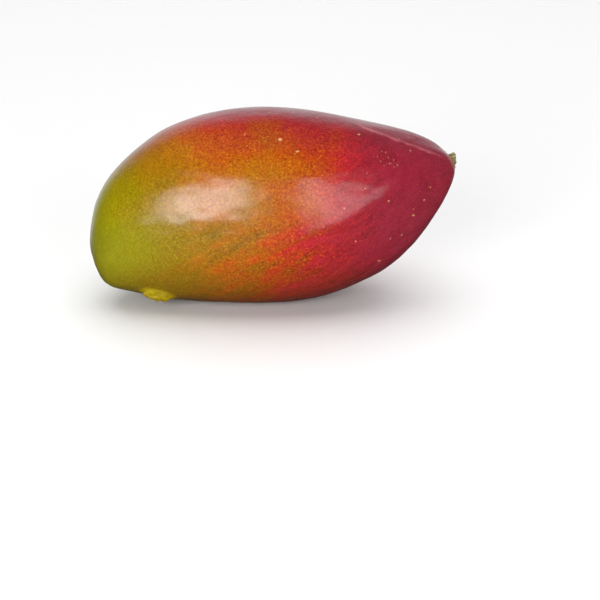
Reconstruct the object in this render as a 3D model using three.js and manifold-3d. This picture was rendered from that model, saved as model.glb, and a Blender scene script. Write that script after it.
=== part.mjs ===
// A whole ripe mango, as picked, lying on its belly with the stalk end raised and its back leaning
// a little to one side. Units are millimetres, +Z is up and the table is z = 0. +X runs from the
// blossom end to the stalk end, and Y runs across the two cheeks. The origin is on the table, under
// the middle of the mango.
//
// The fruit grew as one piece, so it is one solid: a skin lofted through paired back and belly
// points, a small beak where the flower's style was, a socket for the stalk and a flat resting spot.
// The short dry stub of the stalk is the only other piece. Both are shaped with the back straight up
// and the belly at z = 0, and are then leaned over and settled on the table.
import * as THREE from "three";
import { mergeVertices } from "three/addons/utils/BufferGeometryUtils.js";
import Module from "manifold-3d";

// Driving dimensions
const LENGTH = 146; // blossom end to stalk shoulder, along X
const HEIGHT = 78; // belly to back
const THICKNESS = 69; // across the cheeks
const LEAN = THREE.MathUtils.degToRad(18); // how far the back leans towards +Y
const FLAT_CUT = 0.9; // how deep the resting spot is pressed into the round belly
const GAP = 0.3; // clearance between the stub and its socket

// The loft's stations, from the blossom end to the stalk end. back and belly are facing control
// points of the side outline: x as a share of LENGTH from the middle, z as a share of HEIGHT.
// half is the share of half the THICKNESS there. The first and the last station are the two poles.
const STATIONS = [
  { back: [-0.509, 0.28], belly: [-0.509, 0.28], half: 0 },
  { back: [-0.503, 0.39], belly: [-0.472, 0.075], half: 0.33 },
  { back: [-0.481, 0.58], belly: [-0.412, 0.06], half: 0.54 },
  { back: [-0.401, 0.756], belly: [-0.301, 0.008], half: 0.75 },
  { back: [-0.293, 0.912], belly: [-0.171, -0.004], half: 0.9 },
  { back: [-0.155, 0.988], belly: [-0.024, -0.015], half: 0.99 },
  { back: [-0.02, 1.01], belly: [0.112, 0.004], half: 1 },
  { back: [0.128, 0.986], belly: [0.244, 0.09], half: 0.905 },
  { back: [0.266, 0.921], belly: [0.364, 0.228], half: 0.73 },
  { back: [0.387, 0.87], belly: [0.469, 0.5], half: 0.41 },
  { back: [0.459, 0.796], belly: [0.507, 0.697], half: 0.155 },
  { back: [0.486, 0.735], belly: [0.486, 0.735], half: 0 },
];
const RINGS = 60; // rings of skin between the poles
const SEGMENTS = 44; // points round each ring
const FULLNESS = 0.035; // how much fuller than an ellipse a section is, between back, belly and cheeks
const KEEL = 0.05; // how much narrower a section is towards the belly than towards the back

// The beak is a small blunt nub on the belly that points at the blossom end: its middle, its half
// sizes and, in radians, how far its tip lifts from level.
const BEAK = { x: -45.8, y: -9.3, z: 4.1, long: 5.5, wide: 3.9, high: 2.5, lift: 0.12 };

// The stalk stub leaves the shoulder of the stalk end along +X, with its snapped end tilted up a
// little: x and z are the middle of its root, tilt is in radians and the rest are radii and length.
const STUB = { x: 66.8, z: 56.4, tilt: 0.12, root: 2.5, waist: 1.95, rim: 2.2, long: 6.6 };

// Uniform cubic B-spline weights of the four control values round a place that is f past the second.
function splineWeights(f) {
  return [
    (1 - f) ** 3 / 6,
    (3 * f ** 3 - 6 * f ** 2 + 4) / 6,
    (-3 * f ** 3 + 3 * f ** 2 + 3 * f + 1) / 6,
    f ** 3 / 6,
  ];
}

// Station i, where those past a pole are the mirror of those before it, so the skin closes smoothly.
function station(i) {
  const last = STATIONS.length - 1;
  const past = i < 0 || i > last;
  const { back, belly, half } = STATIONS[i < 0 ? -i : i > last ? 2 * last - i : i];
  return past ? { back: belly, belly: back, half: -half } : { back, belly, half };
}

// The side outline's back and belly points and the half thickness at a place along the loft,
// which runs from 0 at the blossom end to STATIONS.length - 1 at the stalk end.
function section(place) {
  const first = Math.min(Math.floor(place), STATIONS.length - 2);
  const back = new THREE.Vector2();
  const belly = new THREE.Vector2();
  let half = 0;
  splineWeights(place - first).forEach((weight, k) => {
    const near = station(first - 1 + k);
    back.addScaledVector(new THREE.Vector2(...near.back), weight);
    belly.addScaledVector(new THREE.Vector2(...near.belly), weight);
    half += near.half * weight;
  });
  return { back, belly, half };
}

// A point of the skin, with angle 0 at the back, a right angle at a cheek and a half turn at the belly.
function skinPoint(place, angle) {
  const { back, belly, half } = section(place);
  const middle = back.clone().add(belly).divideScalar(2);
  const toBack = back.clone().sub(belly).divideScalar(2);
  const full = 1 + (FULLNESS * (1 - Math.cos(4 * angle))) / 2;
  const up = Math.cos(angle) * full;
  const across = half * Math.sin(angle) * full * (1 + KEEL * Math.cos(angle));
  return new THREE.Vector3(
    (middle.x + toBack.x * up) * LENGTH,
    (across * THICKNESS) / 2,
    (middle.y + toBack.y * up) * HEIGHT,
  );
}

// The closed skin, stretched to the driving dimensions.
function skinGeometry() {
  const points = [skinPoint(0, 0)];
  for (let ring = 1; ring <= RINGS; ring++) {
    const place = ((STATIONS.length - 1) * ring) / (RINGS + 1);
    for (let k = 0; k < SEGMENTS; k++) {
      points.push(skinPoint(place, (2 * Math.PI * k) / SEGMENTS));
    }
  }
  points.push(skinPoint(STATIONS.length - 1, 0));

  const at = (ring, k) => 1 + (ring - 1) * SEGMENTS + (k % SEGMENTS);
  const triangles = [];
  for (let k = 0; k < SEGMENTS; k++) {
    triangles.push(0, at(1, k), at(1, k + 1));
    for (let ring = 1; ring < RINGS; ring++) {
      triangles.push(at(ring, k), at(ring + 1, k), at(ring, k + 1));
      triangles.push(at(ring, k + 1), at(ring + 1, k), at(ring + 1, k + 1));
    }
    triangles.push(at(RINGS, k + 1), at(RINGS, k), points.length - 1);
  }

  const geometry = new THREE.BufferGeometry().setFromPoints(points).setIndex(triangles);
  geometry.computeBoundingBox();
  const { min } = geometry.boundingBox;
  const size = geometry.boundingBox.getSize(new THREE.Vector3());
  geometry.translate(-min.x - size.x / 2, -min.y - size.y / 2, -min.z);
  return geometry.scale(LENGTH / size.x, THICKNESS / size.y, HEIGHT / size.z);
}

function beakGeometry() {
  const { x, y, z, long, wide, high, lift } = BEAK;
  const turned = new THREE.Quaternion().setFromAxisAngle(new THREE.Vector3(0, 1, 0), lift);
  const placed = new THREE.Matrix4().compose(
    new THREE.Vector3(x, y, z),
    turned,
    new THREE.Vector3(long, wide, high),
  );
  return new THREE.SphereGeometry(1, 20, 12).applyMatrix4(placed);
}

// Everything below the table, as one block.
function tableGeometry() {
  return new THREE.BoxGeometry(2 * LENGTH, 2 * LENGTH, LENGTH).translate(0, 0, -LENGTH / 2);
}

// The stub, or with a clearance the socket round it: a root, a waist and a swollen snapped rim.
function stubGeometry(clearance = 0) {
  const { x, z, tilt, root, waist, rim, long } = STUB;
  const profile = [
    [0, -clearance],
    [root + clearance, -clearance],
    [root + clearance, 0.22 * long],
    [waist + clearance, 0.5 * long],
    [rim + clearance, 0.82 * long],
    [rim * 0.92 + clearance, 0.96 * long],
    [0, long + clearance],
  ];
  const turned = new THREE.LatheGeometry(
    profile.map(([radius, along]) => new THREE.Vector2(radius, along)),
    20,
  );
  return turned.rotateZ(-Math.PI / 2).rotateY(-tilt).translate(x, 0, z);
}

// Leans the upright shapes over and sinks them until the table cuts FLAT_CUT off the round belly.
const leaned = skinGeometry().rotateX(-LEAN);
leaned.computeBoundingBox();
const sink = leaned.boundingBox.min.z + FLAT_CUT;
const settled = (geometry) => geometry.rotateX(-LEAN).translate(0, 0, -sink);

const manifold = await Module();
manifold.setup();

function solidOf(geometry) {
  const bare = geometry.clone();
  bare.deleteAttribute("normal");
  bare.deleteAttribute("uv");
  const merged = mergeVertices(bare, 1e-3);
  return new manifold.Manifold(
    new manifold.Mesh({
      numProp: 3,
      vertProperties: merged.getAttribute("position").array,
      triVerts: new Uint32Array(merged.index.array),
    }),
  );
}

function geometryOf(solid) {
  const { vertProperties, triVerts } = solid.getMesh();
  return new THREE.BufferGeometry()
    .setAttribute("position", new THREE.BufferAttribute(vertProperties, 3))
    .setIndex(new THREE.BufferAttribute(triVerts, 1));
}

const fruitSolid = solidOf(settled(skinGeometry()))
  .add(solidOf(settled(beakGeometry())))
  .subtract(solidOf(settled(stubGeometry(GAP))))
  .subtract(solidOf(tableGeometry()));

const skin = new THREE.MeshStandardMaterial({ color: 0xb8562a, roughness: 0.38, metalness: 0 });
const dryStalk = new THREE.MeshStandardMaterial({ color: 0x7d7048, roughness: 0.8, metalness: 0 });

const fruit = new THREE.Mesh(geometryOf(fruitSolid), skin);
fruit.name = "fruit";

const stalkStub = new THREE.Mesh(settled(stubGeometry()), dryStalk);
stalkStub.name = "stalk_stub";

const mango = new THREE.Group();
mango.add(fruit, stalkStub);

// The origin goes under the middle of the whole mango, stub included.
const box = new THREE.Box3().setFromObject(mango, true);
mango.position.x = -(box.min.x + box.max.x) / 2;
mango.position.y = -(box.min.y + box.max.y) / 2;

export default mango;
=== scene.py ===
import math

import bmesh
import bpy
import numpy as np
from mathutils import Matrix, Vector, noise


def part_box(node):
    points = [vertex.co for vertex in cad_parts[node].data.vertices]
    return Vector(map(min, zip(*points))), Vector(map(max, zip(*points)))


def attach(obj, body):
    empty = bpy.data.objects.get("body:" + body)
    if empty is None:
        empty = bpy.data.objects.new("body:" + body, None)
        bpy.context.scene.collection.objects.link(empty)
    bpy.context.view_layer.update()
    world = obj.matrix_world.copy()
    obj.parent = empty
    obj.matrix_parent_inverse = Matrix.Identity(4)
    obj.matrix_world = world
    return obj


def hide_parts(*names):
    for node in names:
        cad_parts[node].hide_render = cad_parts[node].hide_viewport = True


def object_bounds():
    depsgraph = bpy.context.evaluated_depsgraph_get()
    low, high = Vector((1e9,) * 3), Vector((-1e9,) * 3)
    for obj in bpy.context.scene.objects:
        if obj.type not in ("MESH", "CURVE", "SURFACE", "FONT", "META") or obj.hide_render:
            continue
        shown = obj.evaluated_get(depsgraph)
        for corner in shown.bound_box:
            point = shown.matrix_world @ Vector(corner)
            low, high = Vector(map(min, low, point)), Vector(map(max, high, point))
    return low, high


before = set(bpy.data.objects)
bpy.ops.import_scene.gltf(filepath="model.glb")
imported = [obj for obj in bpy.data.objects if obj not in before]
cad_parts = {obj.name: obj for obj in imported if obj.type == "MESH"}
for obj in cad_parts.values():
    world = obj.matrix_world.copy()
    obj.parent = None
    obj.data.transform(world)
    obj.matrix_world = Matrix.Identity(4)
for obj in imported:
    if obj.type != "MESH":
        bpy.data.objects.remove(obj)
cad_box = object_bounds()

# ---------------------------------------------------------------------------------------------
# The fruit: one mango in its skin, grown as one piece and picked ripe. The skin is thin, waxy
# and semi-gloss, green at the blossom end and blushed gold, orange, red and crimson towards the
# stalk. It is shaped upright in millimetres, then leaned over and settled on the table.
# ---------------------------------------------------------------------------------------------
MM = 0.001
fruit_low, fruit_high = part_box("fruit")
LENGTH = (fruit_high.x - fruit_low.x) / MM
HEIGHT = LENGTH * 78 / 146
THICKNESS = LENGTH * 69 / 146
LEAN = math.radians(18)  # how far the back leans away from the front
FLAT_DEPTH = 0.9  # how far the round belly is pressed flat where it rests
FULLNESS = 0.035  # how much fuller than an ellipse a cross section is between back, belly and cheeks
KEEL = 0.05  # how much narrower a cross section is towards the belly
STATIONS = np.array([  # back x and z, belly x and z as shares of length and height; half thickness
    (-0.509, 0.28, -0.509, 0.28, 0),
    (-0.503, 0.39, -0.472, 0.075, 0.33),
    (-0.481, 0.58, -0.412, 0.06, 0.54),
    (-0.401, 0.756, -0.301, 0.008, 0.75),
    (-0.293, 0.912, -0.171, -0.004, 0.9),
    (-0.155, 0.988, -0.024, -0.015, 0.99),
    (-0.02, 1.01, 0.112, 0.004, 1),
    (0.128, 0.986, 0.244, 0.09, 0.905),
    (0.266, 0.921, 0.364, 0.228, 0.73),
    (0.387, 0.87, 0.469, 0.5, 0.41),
    (0.459, 0.796, 0.507, 0.697, 0.155),
    (0.486, 0.735, 0.486, 0.735, 0),
])
BEAK = np.array([-45.8, -9.3, 4.1])  # the middle of the beak
BEAK_SIZE = np.array([5.5, 3.9, 2.5])  # half its length, width and height
BEAK_LIFT = 0.12  # how far its tip rises for each millimetre of its length
BEAK_ROOT = np.array([-44.8, -7.0, 5.6])  # a place in the flesh that it grows from
STALK_ROOT = np.array([66.8, 0, 56.4])
STALK_TILT = 0.12
STALK_AXIS = np.array([math.cos(STALK_TILT), 0, math.sin(STALK_TILT)])
STALK_MOUTH = STALK_ROOT + 4.2 * STALK_AXIS
SOCKET_RADIUS = 2.6
SOCKET_DEPTH = 3.4


def loft(directions):
    """Skin points, as shares, for unit directions from the middle of the fruit."""
    last = len(STATIONS) - 1
    mirrored = STATIONS[[1, last - 1]][:, [2, 3, 0, 1, 4]] * (1, 1, 1, 1, -1)
    rows = np.vstack([mirrored[:1], STATIONS, mirrored[1:]])
    place = np.arccos(np.clip(-directions[:, 0], -1, 1)) * last / math.pi
    angle = np.arctan2(directions[:, 1], directions[:, 2])
    first = np.minimum(place.astype(int), last - 1)
    f = (place - first)[:, None]
    weights = [(1 - f) ** 3, 3 * f**3 - 6 * f**2 + 4, -3 * f**3 + 3 * f**2 + 3 * f + 1, f**3]
    row = sum(weight * rows[first + k] for k, weight in enumerate(weights)) / 6
    back, belly, half = row[:, 0:2], row[:, 2:4], row[:, 4]
    full = 1 + FULLNESS * (1 - np.cos(4 * angle)) / 2
    up = (np.cos(angle) * full)[:, None]
    side = (back + belly) / 2 + (back - belly) / 2 * up
    across = half * np.sin(angle) * full * (1 + KEEL * np.cos(angle))
    return np.column_stack([side[:, 0], across, side[:, 1]])


def on_ball(places):
    """Places on a cube from -1 to 1, spread evenly over a ball of radius 1."""
    even = np.tan(places * math.pi / 4)
    return even / np.linalg.norm(even, axis=1)[:, None]


# A ball with its faces laid out as six panels, so that the skin has no pinched pole.
panels = bmesh.new()
bmesh.ops.create_cube(panels, size=2)
for axis, faces_along in enumerate((156, 88, 88)):
    edges = [e for e in panels.edges if abs((e.verts[0].co - e.verts[1].co)[axis]) > 1e-6]
    bmesh.ops.subdivide_edges(panels, edges=edges, cuts=faces_along - 1, use_grid_fill=True)
loose_shares = loft(on_ball(np.array([v.co for v in panels.verts])))
skin_low, skin_high = loose_shares.min(0), loose_shares.max(0)


def upright(directions):
    """Skin points in millimetres, back up and belly at z = 0, stretched to the fruit's size."""
    spread = (loft(directions) - skin_low) / (skin_high - skin_low)
    return spread * (LENGTH, THICKNESS, HEIGHT) - (LENGTH / 2, THICKNESS / 2, 0)


# The faces are finer at the beak and the stalk.
for centre, reach in ((BEAK, 8.5), (BEAK, 5.5), (STALK_MOUTH, 6.5), (STALK_MOUTH, 4.2)):
    middles = upright(on_ball(np.array([f.calc_center_median() for f in panels.faces])))
    near = np.linalg.norm(middles - centre, axis=1) < reach
    panels.faces.ensure_lookup_table()
    edges = {e for k in np.flatnonzero(near) for e in panels.faces[k].edges}
    bmesh.ops.subdivide_edges(panels, edges=list(edges), cuts=1, use_grid_fill=True)

# Each panel keeps its own patch of the bake map: four long ones, then the two ends.
PATCHES = {  # the axis that a panel faces and which way: its left, bottom, width and height
    (2, 1): (0.0, 0.0, 0.5, 0.32),
    (2, -1): (0.5, 0.0, 0.5, 0.32),
    (1, 1): (0.0, 0.32, 0.5, 0.32),
    (1, -1): (0.5, 0.32, 0.5, 0.32),
    (0, 1): (0.0, 0.64, 0.36, 0.36),
    (0, -1): (0.36, 0.64, 0.36, 0.36),
}
PATCH_EDGE = 0.004
bake_map = panels.loops.layers.uv.new("OFBake")
for face in panels.faces:
    middle = face.calc_center_median()
    axis = max(range(3), key=lambda k: abs(middle[k]))
    left, bottom, wide, high = PATCHES[axis, 1 if middle[axis] > 0 else -1]
    across, along = {0: (1, 2), 1: (0, 2), 2: (0, 1)}[axis]
    for loop in face.loops:
        share = ((loop.vert.co[across] + 1) / 2, (loop.vert.co[along] + 1) / 2)
        loop[bake_map].uv = (
            left + PATCH_EDGE + share[0] * (wide - 2 * PATCH_EDGE),
            bottom + PATCH_EDGE + share[1] * (high - 2 * PATCH_EDGE),
        )
    face.smooth = True


def leaned(points):
    """Upright points with the back leaned towards +Y."""
    y = points[:, 1] * math.cos(LEAN) + points[:, 2] * math.sin(LEAN)
    z = points[:, 2] * math.cos(LEAN) - points[:, 1] * math.sin(LEAN)
    return np.column_stack([points[:, 0], y, z])


def vertex_array(mesh, what="position"):
    """The places of a mesh's vertices, or their normals."""
    values = np.zeros(len(mesh.vertices) * 3, np.float32)
    if what == "position":
        mesh.vertices.foreach_get("co", values)
    else:
        mesh.vertex_normals.foreach_get("vector", values)
    return values.reshape(-1, 3).astype(float)


def ripple(points, size, seed):
    """Smooth noise from -1 to 1 at each point, with swells of the given sizes in millimetres."""
    placed = points / np.array(size) + seed * 17.3
    return np.array([noise.noise(Vector(p)) for p in placed])


def smooth_step(low, high, value):
    """0 below low and 1 above high, smooth between; falls instead where low is above high."""
    t = np.clip((value - low) / (high - low), 0, 1)
    return t * t * (3 - 2 * t)


skin_mesh = bpy.data.meshes.new("mango_skin")
panels.to_mesh(skin_mesh)
panels.free()
points = upright(on_ball(vertex_array(skin_mesh)))
skin_mesh.vertices.foreach_set("co", points.ravel())
skin_mesh.update()
outward = vertex_array(skin_mesh, "normal")
lying = leaned(points)
TO_TABLE = np.array([  # from the leaned fruit, still round underneath, to its place on the table
    (fruit_low.x + fruit_high.x) / 2 / MM,
    (fruit_low.y + fruit_high.y) / 2 / MM - (lying[:, 1].min() + lying[:, 1].max()) / 2,
    -lying[:, 2].min() - FLAT_DEPTH,
])

# The flesh swells unevenly under the skin: broad dents, then smaller ones drawn out lengthwise.
SWELLS = [  # how far they rise, how big they are along, across and upwards, and their seed
    (0.36, (36, 26, 24), 1),
    (0.15, (17, 11, 9), 2),
    (0.09, (7, 4.5, 3.4), 3),
]
raised = sum(rise * ripple(points, size, seed) for rise, size, seed in SWELLS)

# A low crest runs up the front cheek from under the blossom end towards the stalk.
CREST_RISE = 0.75
CREST_HALF_WIDTH = 6
length_wise, across, height = points.T
over_crest = height - (22.5 + 0.3 * length_wise + 0.0045 * length_wise**2)
front_cheek = smooth_step(-4, -16, across) * smooth_step(-58, -20, length_wise)
front_cheek *= smooth_step(66, 40, length_wise)
raised += CREST_RISE * front_cheek * np.exp(-((over_crest / CREST_HALF_WIDTH) ** 2))

# Shallow folds gather towards the stalk and fade out along the fruit.
FOLD_RISE = 0.2
from_stalk = points - STALK_MOUTH
reach = np.linalg.norm(from_stalk, axis=1)
turn = np.arctan2(from_stalk[:, 1], from_stalk[:, 2] - 0.35 * from_stalk[:, 0])
folds = np.cos(5 * turn + 0.7) + 0.6 * np.cos(8 * turn + 2.1)
raised += FOLD_RISE * folds * smooth_step(2, 12, reach) * smooth_step(46, 12, reach)
points += outward * raised[:, None]

# The shoulder dips round the stalk, and a low lip rings the socket that the stalk grows from.
up_stalk = from_stalk @ STALK_AXIS
off_axis = np.linalg.norm(from_stalk - up_stalk[:, None] * STALK_AXIS, axis=1)
dip = 0.5 * np.exp(-((off_axis / 3.6) ** 2))
lip = 0.35 * np.exp(-(((off_axis - 3.5) / 0.7) ** 2))
in_socket = smooth_step(SOCKET_RADIUS + 0.15, SOCKET_RADIUS - 0.25, off_axis)
stalk_end = smooth_step(-12, -6, up_stalk)
points += (stalk_end * (lip - dip - SOCKET_DEPTH * in_socket))[:, None] * STALK_AXIS


def in_beak(offsets):
    """Offsets from the beak's middle as shares of its half sizes, with its tip lifted."""
    return (offsets + np.array([0, 0, BEAK_LIFT]) * offsets[..., :1]) / BEAK_SIZE


# The beak is a blunt wrinkled nub on the belly that points to the blossom end. Seen from its root
# inside the flesh, the skin is pushed out to wherever the nub reaches past it.
BEAK_WRINKLE = 0.18
from_root = points - BEAK_ROOT
distance = np.linalg.norm(from_root, axis=1)
aim = from_root / distance[:, None]
heading, start = in_beak(aim), in_beak(BEAK_ROOT - BEAK)
steep = (heading**2).sum(1)
toward = heading @ start
beak_reach = (np.sqrt(toward**2 - steep * (start @ start - 1)) - toward) / steep
beak_reach *= 1 + BEAK_WRINKLE * ripple(aim * (3, 4, 4), (1, 1, 1), 4)
blend = 0.7 + 1.9 * smooth_step(-3, 4, points[:, 0] - BEAK[0])
gap = distance - beak_reach
merged = (distance + beak_reach + np.sqrt(gap**2 + blend**2)) / 2
near_beak = smooth_step(18, 11, distance)
points = BEAK_ROOT + aim * (distance + (merged - distance) * near_beak)[:, None]

# Leaned and settled: the round belly gives a little and lies flat where it rests.
points = leaned(points) + TO_TABLE
SOFT_EDGE = 0.35
points[:, 2] = (points[:, 2] + np.sqrt(points[:, 2] ** 2 + SOFT_EDGE**2)) / 2
points[:, 2] -= points[:, 2].min()
skin_mesh.vertices.foreach_set("co", (points * MM).ravel())
skin_mesh.update()
mango = bpy.data.objects.new("mango_fruit", skin_mesh)
bpy.context.scene.collection.objects.link(mango)


class Wire:
    """A socket in a material. Arithmetic on it adds Math nodes; node() adds any other node."""

    def __init__(self, tree, socket=None):
        self.tree = tree
        self.socket = socket

    def node(self, kind, settings=(), sockets=(), output=0):
        made = self.tree.nodes.new(kind)
        for name, value in dict(settings).items():
            if name == "stops":
                ramp = made.color_ramp
                while len(ramp.elements) < len(value):
                    ramp.elements.new(0.5)
                for element, (position, shade) in zip(ramp.elements, value):
                    element.position = position
                    element.color = shade
            else:
                setattr(made, name, value)
        for name, value in dict(sockets).items():
            if isinstance(value, Wire):
                self.tree.links.new(value.socket, made.inputs[name])
            else:
                made.inputs[name].default_value = value
        return Wire(self.tree, made.outputs[output])

    def math(self, operation, *others):
        return self.node("ShaderNodeMath", {"operation": operation}, enumerate((self, *others)))

    def __add__(self, other):
        return self.math("ADD", other)

    def __sub__(self, other):
        return self.math("SUBTRACT", other)

    def __mul__(self, other):
        return self.math("MULTIPLY", other)

    def __truediv__(self, other):
        return self.math("DIVIDE", other)

    def __rsub__(self, other):
        return self * -1 + other

    __radd__ = __add__
    __rmul__ = __mul__

    def rise(self, low, high):
        """0 below low and 1 above high, smooth between; falls instead where low is above high."""
        sides = {"From Min": min(low, high), "From Max": max(low, high)}
        ends = {"To Min": 0.0, "To Max": 1.0} if low < high else {"To Min": 1.0, "To Max": 0.0}
        sockets = {"Value": self, **sides, **ends}
        return self.node("ShaderNodeMapRange", {"interpolation_type": "SMOOTHSTEP"}, sockets)

    def mixed(self, colour, amount):
        """This colour with some of another: amount 0 keeps it, 1 replaces it."""
        settings = {"data_type": "RGBA", "clamp_factor": True}
        return self.node("ShaderNodeMix", settings, {0: amount, 6: self, 7: colour}, 2)

    def grain(self, size, detail=2.0, roughness=0.5):
        """Noise round zero, from about -0.5 to 0.5, with lumps of the given size, on a place."""
        sockets = {"Vector": self, "Scale": 1 / size, "Detail": detail, "Roughness": roughness}
        return self.node("ShaderNodeTexNoise", {}, sockets) - 0.5

    def vector(self, operation, other, output=0):
        return self.node("ShaderNodeVectorMath", {"operation": operation}, {0: self, 1: other}, output)

    def scaled(self, amount):
        return self.node("ShaderNodeVectorMath", {"operation": "SCALE"}, {0: self, "Scale": amount})

    def split(self):
        """The three parts of a vector or a colour."""
        parts = self.node("ShaderNodeSeparateXYZ", {}, {"Vector": self}).socket.node.outputs
        return [Wire(self.tree, part) for part in parts]

    def join(self, x, y, z):
        return self.node("ShaderNodeCombineXYZ", {}, {"X": x, "Y": y, "Z": z})

    def ramp(self, stops, ends):
        """Colours along this value, where stops give the value and the colour there."""
        low, high = ends
        placed = [((value - low) / (high - low), shade) for value, shade in stops]
        return self.node("ShaderNodeValToRGB", {"stops": placed}, {0: (self - low) / (high - low)})

    def cells(self, size, output=0):
        """Scattered points about size apart: the distance to the nearest, or its own colour."""
        return self.node("ShaderNodeTexVoronoi", {}, {"Vector": self, "Scale": 1 / size}, output)


def tint(red, green, blue):
    """A colour from its 0 to 255 values as seen on a screen."""
    def straight(value):
        share = value / 255
        return share / 12.92 if share <= 0.04045 else ((share + 0.055) / 1.055) ** 2.4
    return (straight(red), straight(green), straight(blue), 1.0)


def surface(name, **constants):
    """A new material: its first wire, and its shader with the given constants set on it."""
    material = bpy.data.materials.new(name)
    material.use_nodes = True
    shader = material.node_tree.nodes["Principled BSDF"]
    for socket, value in constants.items():
        shader.inputs[socket.replace("_", " ")].default_value = value
    return material, Wire(material.node_tree), shader


def feed(shader, **wires):
    """Leads each wire to the socket of the shader that it is named for."""
    for name, wire in wires.items():
        wire.tree.links.new(wire.socket, shader.inputs[name.replace("_", " ")])


BLUSH = [  # how far along the blush, in millimetres from the middle, and the skin's colour there
    (-73, tint(127, 125, 1)),
    (-60, tint(137, 133, 1)),
    (-50, tint(141, 127, 1)),
    (-41, tint(139, 118, 2)),
    (-28, tint(146, 105, 2)),
    (-12, tint(164, 95, 3)),
    (0, tint(168, 74, 5)),
    (11, tint(170, 52, 12)),
    (20, tint(166, 30, 34)),
    (38, tint(142, 28, 44)),
    (54, tint(143, 33, 52)),
]
BLUSH_ENDS = (-74, 62)
skin, wire, skin_shader = surface("mango_skin", IOR=1.4, Specular_IOR_Level=0.1, Coat_Roughness=0.2)

# Places in millimetres with the back up again, so that the blush follows the fruit itself.
spot = wire.node("ShaderNodeMapping", {}, {
    "Vector": wire.node("ShaderNodeTexCoord", {}, {}, 3),
    "Scale": (1 / MM, 1 / MM, 1 / MM),
    "Rotation": (LEAN, 0, 0),
    "Location": (
        -TO_TABLE[0],
        TO_TABLE[2] * math.sin(LEAN) - TO_TABLE[1] * math.cos(LEAN),
        -TO_TABLE[2] * math.cos(LEAN) - TO_TABLE[1] * math.sin(LEAN),
    ),
})
x, y, z = spot.split()

wander = spot.grain(26, 3.0)
mottle = spot.grain(6.5, 3.0, 0.6)
fleck = spot.grain(0.9, 2.0, 0.6)
pore = spot.cells(1.05).rise(0.42, 0.12) * (0.7 + fleck * 2)

# The blush runs from the blossom end to the stalk. It reaches back over the top and a little way
# along the belly, and the far cheek is greener.
BELT = 32  # the height of the middle of the cheek, above and below which the blush reaches back
along_edge = z.rise(46, 64) * y.rise(-24, -8) * y.rise(26, 6)
over_top = (z - BELT).math("MAXIMUM", 0.0)
under = (BELT - z).math("MAXIMUM", 0.0)
gilded = x.rise(34, 8)
blush = x + (over_top * over_top * 0.0175 + under * under * 0.011) * gilded - y.rise(4, 34) * 16

# High up it reaches further towards the blossom end, and half-way along it is more golden.
blush = blush + z.rise(26, 38) * x.rise(-6, -28) * 12
blush = blush - z.rise(28, 38) * z.rise(62, 50) * x.rise(-26, -10) * x.rise(28, 14) * 10
blush = blush - z.rise(44, 56) * x.rise(-14, 0) * x.rise(36, 24) * 13

# Streaks of blush climb the low front cheek.
STREAK_CLIMB = math.radians(30)
streak_place = wire.join(
    (x * math.cos(STREAK_CLIMB) + z * math.sin(STREAK_CLIMB)) * 0.28,
    y * 0.5,
    z * math.cos(STREAK_CLIMB) - x * math.sin(STREAK_CLIMB),
)
streaks = streak_place.grain(3.6, 2.0, 0.55)
low_cheek = z.rise(38, 24) * x.rise(-42, -20) * x.rise(44, 20) * y.rise(2, -8)

# A faint warm stain curves over the beak.
stain = (x + 24) * (x + 24) * 0.0125 + z - 15.6
stain = stain.math("ABSOLUTE").rise(5, 0.5) * x.rise(-58, -50) * x.rise(-4, -20) * y.rise(4, 0)
blush = blush + along_edge * x.rise(-40, 0) * 24 + stain * 6
blush = blush + wander * 15 + mottle * 14 - fleck * 26 + streaks * low_cheek * 46 - pore * 8
ground = blush.ramp(BLUSH, BLUSH_ENDS)

# The skin is grainy: small specks of it are lighter or darker.
streaky = low_cheek * 0.8 + x.rise(-20, 24) * 0.4
grainy = 0.6 + blush.rise(-60, -15) * blush.rise(60, 20) * 0.65
ground = ground.scaled(0.91 + fleck * grainy + mottle * 0.3 + pore * 0.24 + streaks * streaky)

# Painted light along the top: shade above the red cheek, and a mauve rim sheen on the top edge.
# Painted shade: the front is darkened high up above the red cheek, where the lamp overhead lights it
# most.
ground = ground.scaled(1 - z.rise(56, 66) * x.rise(-30, 0) * y.rise(6, -6) * 0.16)
# The mauve tint along the top edge is partly the skin's own plum and partly a painted rim reflection.
ground = ground.mixed(tint(126, 48, 62), along_edge * 0.5)

# Lenticels: fine yellow pores on the green and gold, hardly seen on the red.
red_side = blush.rise(0, 18)
ground = ground.mixed(tint(206, 168, 30), pore * (1 - red_side) * 0.14)

# The skin is brown and corky in a collar round the stalk; a low ridge runs back from it.
front = y.rise(2, -2)
collar = spot.vector("DISTANCE", tuple(STALK_MOUTH), 1) + mottle * 3
ground = ground.mixed(tint(168, 112, 88), collar.rise(6.5, 3.2) * 0.75)
# Painted highlight: a pale pink line along the ridge, which the bump also raises.
off_line = (z - (70.4 - (x - 32.6) * 0.385) + mottle * 2.2 + wander * 3).math("ABSOLUTE")
ridge_and_highlight = off_line.rise(0.9, 0.1) * x.rise(26, 36) * x.rise(70, 64) * front * (0.5 + mottle * 2)
ground = ground.mixed(tint(204, 116, 124), ridge_and_highlight * 0.7)

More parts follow.
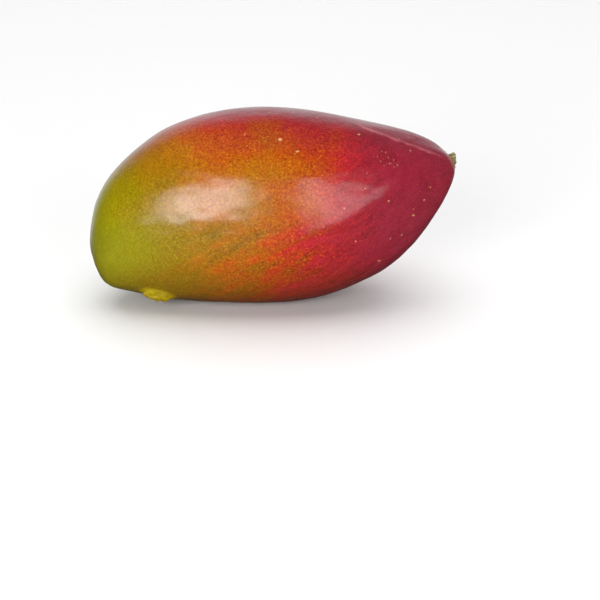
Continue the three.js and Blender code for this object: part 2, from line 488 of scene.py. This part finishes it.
# Old scars: flecks of cream cork, and a scabbed patch near the stalk.
SCARS = [  # along, up and radius
    (3.0, 64.0, 0.65),
    (9.6, 59.2, 0.45),
    (33.6, 66.2, 0.4),
    (45.0, 40.2, 0.35),
    (55.0, 34.6, 0.45),
    (59.4, 40.6, 0.3),
    (61.8, 45.4, 0.35),
    (50.6, 27.0, 0.4),
    (41.6, 16.8, 0.35),
    (32.0, 6.8, 0.7),
]
SCAB = (45.0, 56.8)
side_on = wire.join(x + fleck * 2.4, mottle * 0.5, z + mottle * 1.6)
for along, up, radius in SCARS:
    away = side_on.vector("DISTANCE", (along, 0, up), 1)
    ground = ground.mixed(tint(222, 160, 112), away.rise(radius * 1.3, radius * 0.6) * front * 0.75)
scab_place = wire.join((x - SCAB[0]) * 0.62, 0.0, z - SCAB[1] + (x - SCAB[0]) * 0.25)
scab = scab_place.vector("LENGTH", (0, 0, 0), 1) + mottle * 7 + fleck * 5
scab = scab.rise(4.2, 1.4) * front
ground = ground.mixed(tint(84, 20, 14), scab * (0.3 + mottle * 2))
crumbs = (spot.cells(1.5) + fleck * 0.6).rise(0.3, 0.16) * scab
ground = ground.mixed(tint(202, 128, 108), crumbs * 0.5)

# The beak is yellow, and painted shade darkens the skin round its tip, where the nub shades it.
beak_place = wire.join(
    (x - BEAK[0]) / BEAK_SIZE[0],
    (y - BEAK[1]) / BEAK_SIZE[1],
    (z - BEAK[2] + (x - BEAK[0]) * BEAK_LIFT) / BEAK_SIZE[2],
)
off_beak = beak_place.vector("LENGTH", (0, 0, 0), 1) + mottle * 0.5
# Painted shade: the skin just past the beak's tip is darkened.
tip_shade = off_beak.rise(1.7, 1.3) * x.rise(BEAK[0] + 1, BEAK[0] - 4)
ground = ground.mixed(tint(96, 74, 8), tip_shade * 0.4)
on_beak = off_beak.rise(1.7, 0.95)
ground = ground.mixed(tint(206, 184, 10), on_beak * 0.85)

# Sparse pale dots, in about two cells of five, show most on the red.
DOTS_APART = 4.6
dot = spot.cells(DOTS_APART).rise(0.10, 0.05) * spot.cells(DOTS_APART, 1).split()[0].rise(0.55, 0.65)
ground = ground.mixed(tint(226, 150, 130), dot * (0.15 + red_side * 0.45))

# Painted shade: the belly is darkened and browned, for the shade that it lies in.
ground = ground.mixed(tint(84, 50, 8), z.rise(20, 2) * 0.45)

# The wax is uneven and thin on the beak, which is dull. Fine creases run along the streaks.
PEEL_DEPTH = 0.00022
skin_rough = 0.36 + mottle * 0.16 + fleck * 0.10 + on_beak * 0.3
waxy = 0.8 + mottle * 0.7 + fleck * 0.3 - on_beak * 0.65
creases = streak_place.grain(2.4, 3.0, 0.6) * (x.rise(-6, 34) + low_cheek * 0.7) * y.rise(4, -4)
peel = fleck * 0.7 + creases * 3.6 + spot.grain(3.4, 3.0) * 2.2
peel = peel + spot.grain(1.3, 3.0, 0.6) * on_beak * 3.5
peel = peel + ridge_and_highlight * 1.3 + pore * 0.2 + dot * 0.25 + scab * 0.3 + crumbs * 0.6
bumps = peel.node("ShaderNodeBump", {}, {"Height": peel, "Distance": PEEL_DEPTH, "Strength": 1.0})
feed(skin_shader, Base_Color=ground, Roughness=skin_rough, Coat_Weight=waxy, Normal=bumps)
skin_mesh.materials.append(skin)

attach(mango, "root")
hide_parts("fruit")

# ---------------------------------------------------------------------------------------------
# The stalk stub: the dry end of the stalk, left in its socket when the fruit was snapped off.
# It is woody and fibrous, with a swollen grey-green rim and a paler broken end.
# ---------------------------------------------------------------------------------------------
STUB_PROFILE = [  # distance along the stub and radius there, in millimetres
    (0.0, 0.0), (0.0, 1.2), (0.1, 2.2), (0.5, 2.35), (1.6, 2.25), (3.2, 1.95), (4.2, 1.9), (5.0, 2.05),
    (5.6, 2.22), (6.1, 2.25), (6.4, 2.1), (6.5, 1.7), (6.45, 1.1), (6.3, 0.5), (6.25, 0.0),
]
STUB_SIDES = 72
STUB_RINGS = 70

profile = np.array(STUB_PROFILE)
steps = np.r_[0, np.cumsum(np.linalg.norm(np.diff(profile, axis=0), axis=1))]
even = np.linspace(0, steps[-1], STUB_RINGS + 2)
stub_bm = bmesh.new()
level = np.array([0.0, 1.0, 0.0])
upward = np.cross(STALK_AXIS, level)


def stub_point(distance, radius, angle):
    """A point of the stub: fluted with fibres, and ragged where it snapped."""
    flute = 0.07 * math.cos(9 * angle + 0.6) + 0.05 * math.cos(17 * angle + 0.25 * distance)
    place = Vector((distance * 0.5, 2.2 * math.cos(angle), 2.2 * math.sin(angle)))
    rough = 0.10 * noise.noise(place * 2.5)
    at_end = smooth_step(5.6, 6.4, distance)
    ragged = at_end * 0.28 * noise.noise(Vector((radius * 1.7, 3 * math.cos(angle), 3 * math.sin(angle))))
    wide = radius * (1 + flute * min(radius, 1.0) + rough)
    out = level * math.cos(angle) + upward * math.sin(angle)
    return STALK_ROOT + STALK_AXIS * (distance + ragged - 0.1) + out * wide


rings = []
for place in even[1:-1]:
    distance, radius = (np.interp(place, steps, profile[:, k]) for k in (0, 1))
    turns = [2 * math.pi * k / STUB_SIDES for k in range(STUB_SIDES)]
    rings.append([stub_bm.verts.new(stub_point(distance, radius, turn)) for turn in turns])
root_tip = stub_bm.verts.new(stub_point(0.0, 0.0, 0.0))
end_tip = stub_bm.verts.new(stub_point(profile[-1, 0], 0.0, 0.0))
for k in range(STUB_SIDES):
    beside = (k + 1) % STUB_SIDES
    stub_bm.faces.new((root_tip, rings[0][beside], rings[0][k]))
    for near, far in zip(rings, rings[1:]):
        stub_bm.faces.new((near[k], near[beside], far[beside], far[k]))
    stub_bm.faces.new((end_tip, rings[-1][k], rings[-1][beside]))
bmesh.ops.recalc_face_normals(stub_bm, faces=stub_bm.faces)
for face in stub_bm.faces:
    face.smooth = True
stub_mesh = bpy.data.meshes.new("stalk_wood")
stub_bm.to_mesh(stub_mesh)
stub_bm.free()
stub_points = leaned(vertex_array(stub_mesh)) + TO_TABLE
stub_mesh.vertices.foreach_set("co", (stub_points * MM).ravel())
stub_mesh.update()
stub = bpy.data.objects.new("stalk_stub_dry", stub_mesh)
bpy.context.scene.collection.objects.link(stub)

dry, wire, dry_shader = surface("dry_stalk", Roughness=0.75)
place = wire.node("ShaderNodeMapping", {}, {
    "Vector": wire.node("ShaderNodeTexCoord", {}, {}, 3),
    "Scale": (300, 1000, 1000),
})
fibre = place.grain(0.55, 3.0, 0.65)
patch = place.grain(1.6, 2.0)
WOOD = [  # from the dark furrows between the fibres to the pale ridges
    (0.25, tint(92, 66, 42)),
    (0.45, tint(128, 112, 72)),
    (0.6, tint(140, 140, 100)),
    (0.8, tint(178, 160, 128)),
]
wood = place.node("ShaderNodeValToRGB", {"stops": WOOD}, {0: fibre + patch * 0.7 + 0.5})
bark = fibre.node("ShaderNodeBump", {}, {"Height": fibre, "Distance": 0.0002, "Strength": 1.0})
feed(dry_shader, Base_Color=wood, Normal=bark)
stub_mesh.materials.append(dry)

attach(stub, "root")
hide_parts("stalk_stub")

# ---------------------------------------------------------------------------------------------
# The table: a plain pale sheet of matt board, far larger than the fruit, which lies loose on it.
# It is the stage and isn't part of the fruit.
# ---------------------------------------------------------------------------------------------
TABLE_HALF = 4.0  # metres
table_mesh = bpy.data.meshes.new("table")
corners = [(-1, -1), (1, -1), (1, 1), (-1, 1)]
table_mesh.from_pydata([(a * TABLE_HALF, b * TABLE_HALF, 0) for a, b in corners], [], [(0, 1, 2, 3)])
table = bpy.data.objects.new("table", table_mesh)
bpy.context.scene.collection.objects.link(table)
board = surface("pale_board", Roughness=0.6, Base_Color=tint(244, 244, 244))[0]
table_mesh.materials.append(board)
table.visible_glossy = False

# ---------------------------------------------------------------------------------------------
# The light: soft boxes in front, left and right of the camera, each brighter in its middle, and a
# third far to the right. A wide lamp hangs overhead, and a pale backdrop glows behind.
# ---------------------------------------------------------------------------------------------
middle = (cad_box[0] + cad_box[1]) / 2
BOXES = [  # name, degrees to the right of the front, degrees up, wide and tall in degrees, strength
    ("soft_box_left", -25, 18.5, 37, 28, 4.9),
    ("soft_box_left_core", -22, 14, 21, 20, 5.6),
    ("soft_box_right", 24, 15, 23, 36, 3.1),
    ("soft_box_right_core", 21, 15, 12, 18, 1.7),
    ("soft_box_far_right", 44, 20, 16, 24, 2.4),
]
BOX_AWAY = 1.4  # metres from the middle of the fruit
for name, to_right, up, wide, tall, strength in BOXES:
    lamp = bpy.data.lights.new(name, "AREA")
    lamp.shape = "RECTANGLE"
    lamp.size = 2 * BOX_AWAY * math.tan(math.radians(wide / 2))
    lamp.size_y = 2 * BOX_AWAY * math.tan(math.radians(tall / 2))
    lamp.energy = strength * math.pi * lamp.size * lamp.size_y
    box = bpy.data.objects.new(name, lamp)
    side, rise = math.radians(to_right), math.radians(up)
    away = Vector((math.sin(side) * math.cos(rise), -math.cos(side) * math.cos(rise), math.sin(rise)))
    box.location = middle + away * BOX_AWAY
    box.rotation_euler = away.to_track_quat("Z", "Y").to_euler()
    bpy.context.scene.collection.objects.link(box)

overhead = bpy.data.lights.new("overhead", "AREA")
overhead.shape = "SQUARE"
overhead.size = 3.0
overhead.energy = 58
above = bpy.data.objects.new("overhead", overhead)
above.location = (0, 0.6, 2.0)
above.visible_glossy = False
bpy.context.scene.collection.objects.link(above)

room = bpy.data.worlds.new("room")
room.use_nodes = True
air = Wire(room.node_tree)
_, behind, above_floor = air.node("ShaderNodeTexCoord", {}, {}, 0).split()
background = room.node_tree.nodes["Background"]
background.inputs["Color"].default_value = (1, 1, 1, 1)
feed(background, Strength=behind.rise(0.5, 0.95) * above_floor.rise(-0.42, -0.22) * 0.78 + 0.035)
bpy.context.scene.world = room
bpy.context.scene.view_settings.view_transform = "Standard"

# ---------------------------------------------------------------------------------------------
# The camera: in front and a little above, looking past the fruit so that it lies up and to the
# left in the frame.
# ---------------------------------------------------------------------------------------------
CAMERA_UP = math.radians(18)
CAMERA_AWAY = 0.8
AIM_RIGHT, AIM_BELOW = 0.0106, 0.0389  # how far past the middle of the fruit it is aimed, in metres
backward = Vector((0, -math.cos(CAMERA_UP), math.sin(CAMERA_UP)))
view_up = Vector((0, math.sin(CAMERA_UP), math.cos(CAMERA_UP)))
lens = bpy.data.cameras.new("camera")
lens.lens = 120
lens.sensor_width = 36
camera = bpy.data.objects.new("camera", lens)
camera.location = middle + backward * CAMERA_AWAY
aim = middle + Vector((AIM_RIGHT, 0, 0)) - view_up * AIM_BELOW
camera.rotation_euler = (camera.location - aim).to_track_quat("Z", "Y").to_euler()
bpy.context.scene.collection.objects.link(camera)
bpy.context.scene.camera = camera
